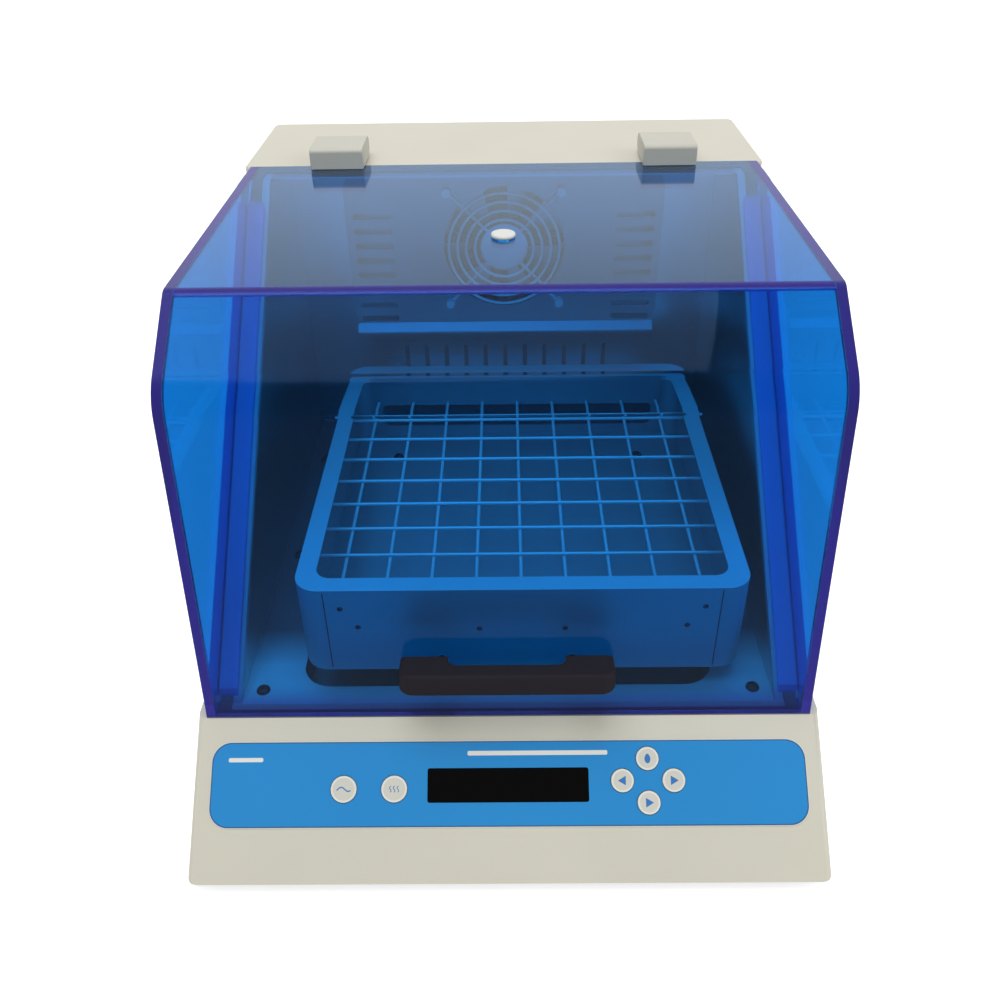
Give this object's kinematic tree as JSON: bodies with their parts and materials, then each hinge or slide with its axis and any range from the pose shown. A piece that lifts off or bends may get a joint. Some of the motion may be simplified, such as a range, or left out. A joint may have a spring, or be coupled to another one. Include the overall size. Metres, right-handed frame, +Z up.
{
  "type": "shaking incubator",
  "caption": "Benchtop shaking incubator: heated chamber with a hinged tinted hood, sloped control panel, circulation fan and a wire-grid tray on an orbital drive.",
  "frame": {"origin": "centre of the footprint on the bench", "axes": "+Z up, the control panel faces -Y, +X to the viewer's right"},
  "size_m": [0.4, 0.534, 0.345],
  "materials": {
    "cream_enamel": "satin",
    "zinc_sheet": "satin",
    "foot_rubber": "matte",
    "seal_rubber": "matte",
    "belt_rubber": "matte",
    "liner_steel": "satin",
    "rail_enamel": "satin",
    "insulation_felt": "matte",
    "bolt_steel": "polished",
    "cover_steel": "satin",
    "guard_wire": "polished",
    "fan_black": "matte",
    "heater_sheath": "satin",
    "drive_aluminium": "machined",
    "crank_steel": "turned",
    "motor_paint": "satin",
    "tray_steel": "satin",
    "wire_steel": "polished",
    "overlay_blue": "satin",
    "window_black": "gloss",
    "key_grey": "satin",
    "board_green": "matte",
    "supply_case": "satin",
    "inlet_black": "matte",
    "hinge_bracket_steel": "satin",
    "hinge_cap_cream": "satin",
    "handle_black": "satin",
    "plug_white": "satin",
    "hood_acrylic": "polished"
  },
  "bodies": {
    "case": {"main_housing": "cream_enamel", "rear_cap": "cream_enamel", "rear_panel": "cream_enamel", "base_pan": "zinc_sheet", "feet": "foot_rubber", "liner_floor": "liner_steel", "liner_sides": "liner_steel", "liner_back": "liner_steel", "rim_rails": "rail_enamel", "hood_seal": "seal_rubber", "insulation": "insulation_felt", "floor_bolts": "bolt_steel", "plenum_cover": "cover_steel", "fan_guard": "guard_wire", "fan_frame": "fan_black", "heater_element": "heater_sheath", "temperature_probe": "heater_sheath", "drive_well": "zinc_sheet", "drive_plate": "drive_aluminium", "bearing_housings": "drive_aluminium", "shaft_bearings": "bolt_steel", "drive_motor": "motor_paint", "drive_belt": "belt_rubber", "control_overlay": "overlay_blue", "display_window": "window_black", "key_board": "board_green", "power_supply": "supply_case", "power_inlet": "inlet_black", "hinge_brackets": "hinge_bracket_steel", "hinge_pins": "bolt_steel"},
    "hood": {"hood_sheet_front_top": "hood_acrylic", "hood_side_left": "hood_acrylic", "hood_side_right": "hood_acrylic", "hood_rim_strips": "hood_acrylic", "hood_handle": "handle_black", "handle_screws": "bolt_steel", "lid_plug": "plug_white", "hinge_caps": "hinge_cap_cream"},
    "drive_shaft": {"drive_crank": "crank_steel", "driven_pulley": "drive_aluminium", "counterweight": "crank_steel"},
    "idler_front": {"idler_front": "crank_steel"},
    "idler_left": {"idler_left": "crank_steel"},
    "idler_right": {"idler_right": "crank_steel"},
    "platform": {"carriage": "drive_aluminium", "carriage_bearings": "bolt_steel", "tray": "tray_steel", "wires_across": "wire_steel", "wires_along": "wire_steel", "tray_screws": "bolt_steel"},
    "motor_rotor": {"motor_pulley": "drive_aluminium"},
    "fan_wheel": {"fan_impeller": "fan_black"},
    "rocker": {"switch_rocker": "inlet_black"},
    "key_wave": {"key_wave": "key_grey"},
    "key_heat": {"key_heat": "key_grey"},
    "key_up": {"key_up": "key_grey"},
    "key_left": {"key_left": "key_grey"},
    "key_right": {"key_right": "key_grey"},
    "key_down": {"key_down": "key_grey"}
  },
  "joints": [
    {"name": "hood_hinge", "type": "hinge", "parent": "case", "child": "hood", "pos_m": [0, 0.163, 0.3375], "axis": [-1, 0, 0], "range_deg": [0, 80]},
    {"name": "drive_spin", "type": "hinge", "parent": "case", "child": "drive_shaft", "pos_m": [0, -0.01, 0.05], "axis": [0, 0, 1], "continuous": true},
    {"name": "platform_hold", "type": "hinge", "parent": "drive_shaft", "child": "platform", "pos_m": [0.01, -0.01, 0.084], "axis": [0, 0, 1], "continuous": true},
    {"name": "idler_front_spin", "type": "hinge", "parent": "case", "child": "idler_front", "pos_m": [0, -0.105, 0.05], "axis": [0, 0, 1], "continuous": true},
    {"name": "idler_left_spin", "type": "hinge", "parent": "case", "child": "idler_left", "pos_m": [-0.09, 0.052, 0.05], "axis": [0, 0, 1], "continuous": true},
    {"name": "idler_right_spin", "type": "hinge", "parent": "case", "child": "idler_right", "pos_m": [0.09, 0.052, 0.05], "axis": [0, 0, 1], "continuous": true},
    {"name": "motor_spin", "type": "hinge", "parent": "case", "child": "motor_rotor", "pos_m": [0, 0.236, 0.03], "axis": [0, 0, 1], "continuous": true},
    {"name": "fan_spin", "type": "hinge", "parent": "case", "child": "fan_wheel", "pos_m": [0, 0.174, 0.251], "axis": [0, -1, 0], "continuous": true},
    {"name": "mains_rocker", "type": "hinge", "parent": "case", "child": "rocker", "pos_m": [0.138, 0.26, 0.078], "axis": [-1, 0, 0], "range_deg": [0, 16]},
    {"name": "key_wave_press", "type": "slide", "parent": "case", "child": "key_wave", "axis": [0, 0.6451, -0.7641], "range_m": [0, 0.0008], "stiffness_N_per_m": 600},
    {"name": "key_heat_press", "type": "slide", "parent": "case", "child": "key_heat", "axis": [0, 0.6451, -0.7641], "range_m": [0, 0.0008], "stiffness_N_per_m": 600},
    {"name": "key_up_press", "type": "slide", "parent": "case", "child": "key_up", "axis": [0, 0.6451, -0.7641], "range_m": [0, 0.0008], "stiffness_N_per_m": 600},
    {"name": "key_left_press", "type": "slide", "parent": "case", "child": "key_left", "axis": [0, 0.6451, -0.7641], "range_m": [0, 0.0008], "stiffness_N_per_m": 600},
    {"name": "key_right_press", "type": "slide", "parent": "case", "child": "key_right", "axis": [0, 0.6451, -0.7641], "range_m": [0, 0.0008], "stiffness_N_per_m": 600},
    {"name": "key_down_press", "type": "slide", "parent": "case", "child": "key_down", "axis": [0, 0.6451, -0.7641], "range_m": [0, 0.0008], "stiffness_N_per_m": 600}
  ],
  "couplings": [
    {"joint": "platform_hold", "follows": "drive_spin", "ratio": -1},
    {"joint": "idler_front_spin", "follows": "drive_spin", "ratio": 1},
    {"joint": "idler_left_spin", "follows": "drive_spin", "ratio": 1},
    {"joint": "idler_right_spin", "follows": "drive_spin", "ratio": 1},
    {"joint": "motor_spin", "follows": "drive_spin", "ratio": 3}
  ]
}
